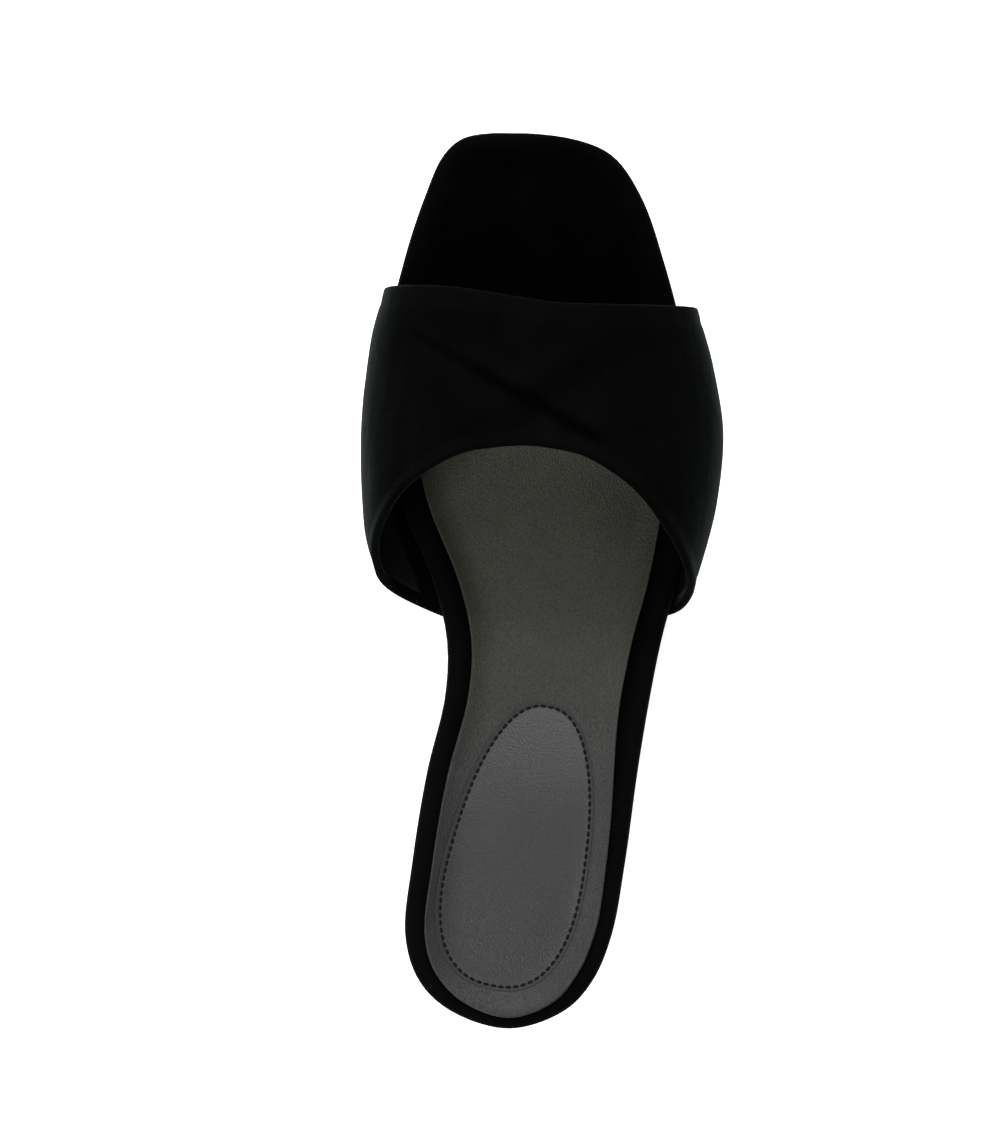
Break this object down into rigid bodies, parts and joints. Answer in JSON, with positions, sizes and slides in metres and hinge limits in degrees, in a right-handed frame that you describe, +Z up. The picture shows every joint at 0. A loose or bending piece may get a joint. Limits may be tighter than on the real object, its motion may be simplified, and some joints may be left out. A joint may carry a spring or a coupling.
{
  "type": "platform sandal",
  "caption": "Right-foot platform slide: broad velvet vamp strap over a cupped velvet footbed, leather sock with a sewn oval heel pad, tall platform and flat rubber outsole.",
  "frame": {"origin": "on the floor, under the middle of the sandal's bounding box", "axes": "+Y to the toe, +X to the outer (lateral) side of the foot, +Z up"},
  "size_m": [0.101, 0.252, 0.0728],
  "materials": {
    "velvet": "black velvet pile",
    "sock_leather": "fine-grained matt",
    "pad_leather": "smooth matt",
    "outsole_rubber": "matt"
  },
  "bodies": {
    "root": {"outsole": "outsole_rubber", "platform": "velvet", "footbed": "velvet", "sock": "sock_leather", "heel_pad": "pad_leather", "upper_strap": "velvet"}
  },
  "joints": []
}
